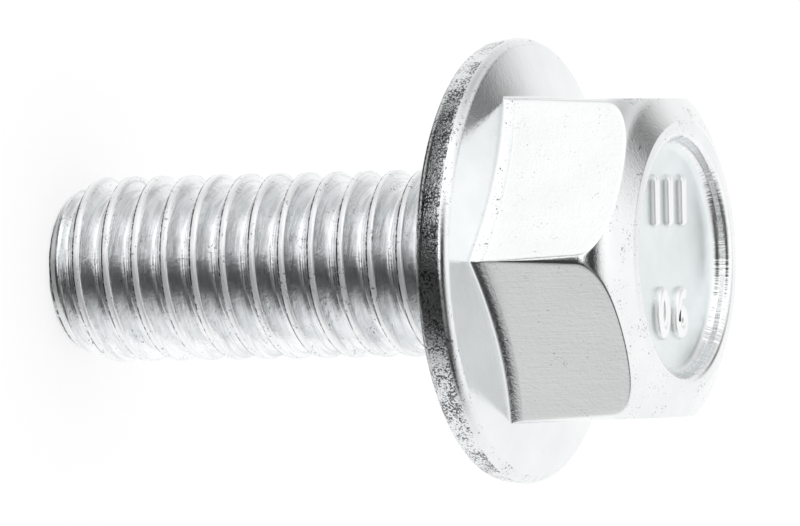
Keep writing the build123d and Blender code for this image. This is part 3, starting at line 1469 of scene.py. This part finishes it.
@dataclass(frozen=True)
class SoftFlag:
    """A soft dark card in the white surround, by where it stands as seen from the bolt.

    A negative darkness makes it a soft bright panel instead. The width is the angle across which
    the card is at least half as dark as in its middle.
    """

    azimuth: float
    elevation: float
    width: float
    darkness: float

    def aim(self) -> tuple[float, float, float]:
        """Return the unit vector from the bolt to the middle of the card."""
        turn, rise = math.radians(self.azimuth), math.radians(self.elevation)
        return (math.cos(rise) * math.cos(turn), math.cos(rise) * math.sin(turn), math.sin(rise))

    def sharpness(self) -> float:
        """Return k of exp(k (cos d - 1)), which is a half at half the width from the middle."""
        return math.log(2.0) / (1.0 - math.cos(math.radians(self.width / 2)))


@dataclass
class Studio:
    """White surround with soft flags, pale floor and camera.

    Lengths on the picture are for one that is as wide as the picture width.
    """

    flags: tuple[SoftFlag, ...] = (
        SoftFlag(-80.0, -23.0, 45.0, 1.50),
        SoftFlag(-98.0, 32.0, 44.0, 1.51),
        SoftFlag(-171.0, -42.0, 26.0, 1.91),
        SoftFlag(117.0, 42.0, 23.0, 0.88),
        SoftFlag(-58.0, -71.0, 30.0, 2.00),
        SoftFlag(179.0, 21.0, 63.0, 0.82),
        SoftFlag(-43.0, 37.0, 42.0, 0.83),
        SoftFlag(106.0, -65.0, 28.0, 2.20),
        SoftFlag(-142.0, 28.0, 75.0, -0.90),
        SoftFlag(-129.0, -19.0, 14.0, 1.45),
        SoftFlag(-47.0, -41.0, 14.0, 0.71),
        SoftFlag(-168.0, -31.0, 16.0, -0.90),
        SoftFlag(-126.0, -48.0, 26.0, 2.20),
        SoftFlag(-42.0, -1.0, 42.0, 0.68),
        SoftFlag(-122.0, -28.0, 25.0, -0.95),
        SoftFlag(-96.0, 1.0, 17.0, -1.40),
        SoftFlag(-30.0, 8.0, 18.0, 0.60),
    )
    focal_length: float = 496.8
    distance: float = 341.8
    elevation: float = 23.4
    roll: float = 1.2
    picture_centre: tuple[float, float] = (400.0, 263.0)
    seat_centre: tuple[float, float] = (498.81, 261.29)
    picture_width: float = 800.0
    sensor_width: float = 36.0
    clip: tuple[float, float] = (0.05, 20.0)
    surround_level: float = 1.05
    least_level: float = 0.04
    floor_side: float = 2.0
    floor_gap: float = 0.02
    floor_grey: float = 0.85
    seen_grey: float = 0.30
    seen_glow: float = 0.73

    def camera(self) -> bpy.types.Object:
        """Place the camera: it looks down on the upright bolt and lies on its side.

        The picture's right is the bolt's axis seen at the camera's elevation, turned by the roll,
        and the camera moves in its own plane until the seat's centre has its place.

        Returns:
            The camera.
        """
        rise, roll = math.radians(self.elevation), math.radians(self.roll)
        back = Vector((0.0, -math.cos(rise), math.sin(rise)))
        upright = Vector((0.0, math.sin(rise), math.cos(rise)))
        level = Vector((1.0, 0.0, 0.0))
        right = math.cos(roll) * upright + math.sin(roll) * level
        up = -math.cos(roll) * level + math.sin(roll) * upright
        focal = self.focal_length / self.sensor_width * self.picture_width
        along = (self.seat_centre[0] - self.picture_centre[0]) / focal * self.distance
        over = -(self.seat_centre[1] - self.picture_centre[1]) / focal * self.distance
        place = (back * self.distance - right * along - up * over) * MILLIMETRE
        data = bpy.data.cameras.new("camera")
        data.lens = self.focal_length
        data.sensor_width = self.sensor_width
        data.clip_start, data.clip_end = self.clip
        camera = bpy.data.objects.new("camera", data)
        turn = Matrix((right, up, back)).transposed()
        camera.matrix_world = Matrix.Translation(place) @ turn.to_4x4()
        bpy.context.scene.collection.objects.link(camera)
        bpy.context.scene.camera = camera
        return camera

    def floor(self, height: float) -> bpy.types.Object:
        """Lay the pale floor a small gap under the bolt's end.

        To the camera and in glass it is a dull grey that glows, which comes out white where it is
        lit and keeps the bolt's shadow. Other rays meet it as pale paper, and the zinc mirrors the
        surround in its place.

        Args:
            height: The height of the bolt's end in metres.

        Returns:
            The floor, marked as stage.
        """
        mesh = bpy.data.meshes.new("floor")
        corners = np.array([(-1, -1), (1, -1), (1, 1), (-1, 1)], float) * self.floor_side
        level = np.full((4, 1), height - self.floor_gap * MILLIMETRE)
        points = np.concatenate([corners, level], axis=1)
        mesh.from_pydata(points, [], [(0, 1, 2, 3)])
        floor = bpy.data.objects.new("floor", mesh)
        bpy.context.scene.collection.objects.link(floor)
        material = bpy.data.materials.new("pale_floor")
        material.use_nodes = True
        sheet = NodeSheet(material.node_tree)
        rays = sheet.node("ShaderNodeLightPath")
        seen = rays.outputs["Is Camera Ray"]
        for title in ("Is Glossy Ray", "Is Transmission Ray"):
            seen = sheet.sum_up("MAXIMUM", seen, rays.outputs[title])
        paper = sheet.node("ShaderNodeBsdfDiffuse", Color=(*[self.floor_grey] * 3, 1))
        shaded = sheet.node("ShaderNodeBsdfDiffuse", Color=(*[self.seen_grey] * 3, 1))
        glow = sheet.node("ShaderNodeEmission", Color=(1, 1, 1, 1), Strength=self.seen_glow)
        bright = sheet.node("ShaderNodeAddShader")
        sheet.join(shaded.outputs[0], bright.inputs[0])
        sheet.join(glow.outputs[0], bright.inputs[1])
        mix = sheet.node("ShaderNodeMixShader")
        sheet.join(seen, mix.inputs["Fac"])
        sheet.join(paper.outputs[0], mix.inputs[1])
        sheet.join(bright.outputs[0], mix.inputs[2])
        output = sheet.node("ShaderNodeOutputMaterial")
        sheet.join(mix.outputs[0], output.inputs["Surface"])
        mesh.materials.append(material)
        floor.visible_glossy = False
        floor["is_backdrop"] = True
        return floor

    def surround(self) -> None:
        """Set the world: white for every ray, with the soft flags in what the metal mirrors.

        In a direction d a flag with aim a takes darkness * exp(k (d . a - 1)) off the white, down
        to the least level.
        """
        world = bpy.data.worlds.new("surround")
        world.use_nodes = True
        sheet = NodeSheet(world.node_tree)
        direction = sheet.node("ShaderNodeTexCoord").outputs["Generated"]
        total: bpy.types.NodeSocket | float = 0.0
        for flag in self.flags:
            dot = sheet.node("ShaderNodeVectorMath", operation="DOT_PRODUCT")
            sheet.join(direction, dot.inputs[0])
            dot.inputs[1].default_value = flag.aim()
            sharpness = flag.sharpness()
            fall = sheet.sum_up("MULTIPLY_ADD", dot.outputs["Value"], sharpness, -sharpness)
            shade = sheet.sum_up("MULTIPLY", sheet.sum_up("EXPONENT", fall), flag.darkness)
            total = sheet.sum_up("ADD", total, shade)
        rays = sheet.node("ShaderNodeLightPath")
        mirrored = sheet.sum_up("MULTIPLY", total, rays.outputs["Is Glossy Ray"])
        level = sheet.sum_up("SUBTRACT", self.surround_level, mirrored)
        strength = sheet.sum_up("MAXIMUM", level, self.least_level)
        background = sheet.node("ShaderNodeBackground", Color=(1, 1, 1, 1))
        sheet.join(strength, background.inputs["Strength"])
        output = sheet.node("ShaderNodeOutputWorld")
        sheet.join(background.outputs[0], output.inputs["Surface"])
        bpy.context.scene.world = world


def dress(piece: bpy.types.Object) -> None:
    """Let a piece ride on the bolt and stand for its CAD node, which it hides.

    Args:
        piece: The piece.
    """
    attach(piece, "root")
    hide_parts(NODE)
    LOG.info("%s: %d faces", piece.name, len(piece.data.polygons))


def main() -> None:
    """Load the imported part, build the bolt's pieces and set the studio round them."""
    logging.basicConfig(level=logging.INFO, format="%(name)s %(message)s")
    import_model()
    cad_box = [list(corner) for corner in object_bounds()]
    materials = BoltFinishes().materials()
    dress(ThreadedShank().skin().build("threaded_shank", materials))
    dress(ForgedHead().skin().build("forged_head", materials))
    dress(RaisedSigns().skin().build("raised_signs", materials))
    studio = Studio()
    studio.camera()
    studio.floor(cad_box[0][2])
    studio.surround()
    bpy.context.scene.view_settings.view_transform = "Standard"


if __name__ == "__main__":
    main()
